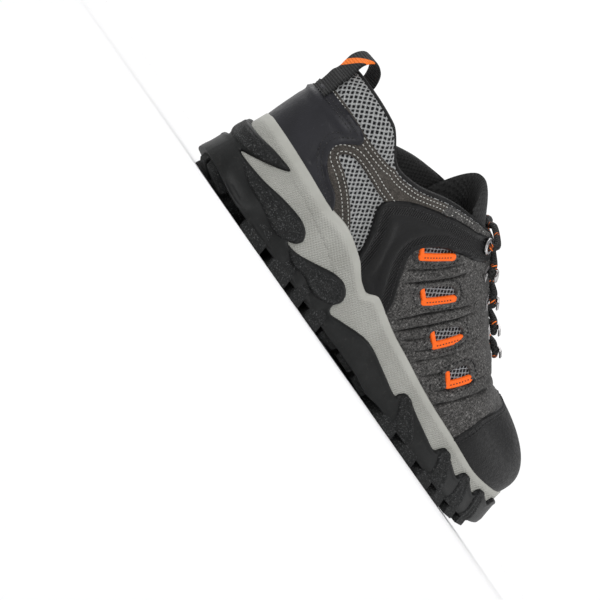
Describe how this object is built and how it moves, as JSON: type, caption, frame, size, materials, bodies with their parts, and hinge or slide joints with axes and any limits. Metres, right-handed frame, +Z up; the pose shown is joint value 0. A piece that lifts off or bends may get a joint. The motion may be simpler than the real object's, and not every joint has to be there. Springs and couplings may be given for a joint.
{
  "type": "hiking shoe",
  "caption": "Right low-cut hiking shoe with a deep-lugged rubber outsole, foam midsole, overlays, padded tongue, open lace hooks, laces and a heel pull loop.",
  "frame": {"origin": "middle of the footprint's bounding box, on the floor under the sole", "axes": "+X to the toe, +Y to the inner (medial) side of the foot, +Z up"},
  "size_m": [0.3042, 0.1222, 0.1249],
  "materials": {
    "rubber": "matt, fine-grained black rubber",
    "foam": "light warm grey foam with a fine ribbed skin",
    "suede": "charcoal nubuck",
    "fabric": "grey open mesh and webbing",
    "leather": "smooth black synthetic leather",
    "metal": "nickel-plated steel",
    "cord": "black round lace with orange flecks"
  },
  "bodies": {
    "root": {"outsole": "rubber", "midsole": "foam", "upper": "suede", "insole": "fabric", "tongue": "fabric", "toe_cap": "leather", "heel_counter": "leather", "outer_saddle": "leather", "inner_saddle": "leather", "outer_hook_1": "metal", "outer_hook_2": "metal", "outer_hook_3": "metal", "outer_hook_4": "metal", "inner_hook_1": "metal", "inner_hook_2": "metal", "inner_hook_3": "metal", "inner_hook_4": "metal", "outer_eyelet": "metal", "inner_eyelet": "metal", "lace": "cord", "pull_loop": "fabric"}
  },
  "joints": []
}
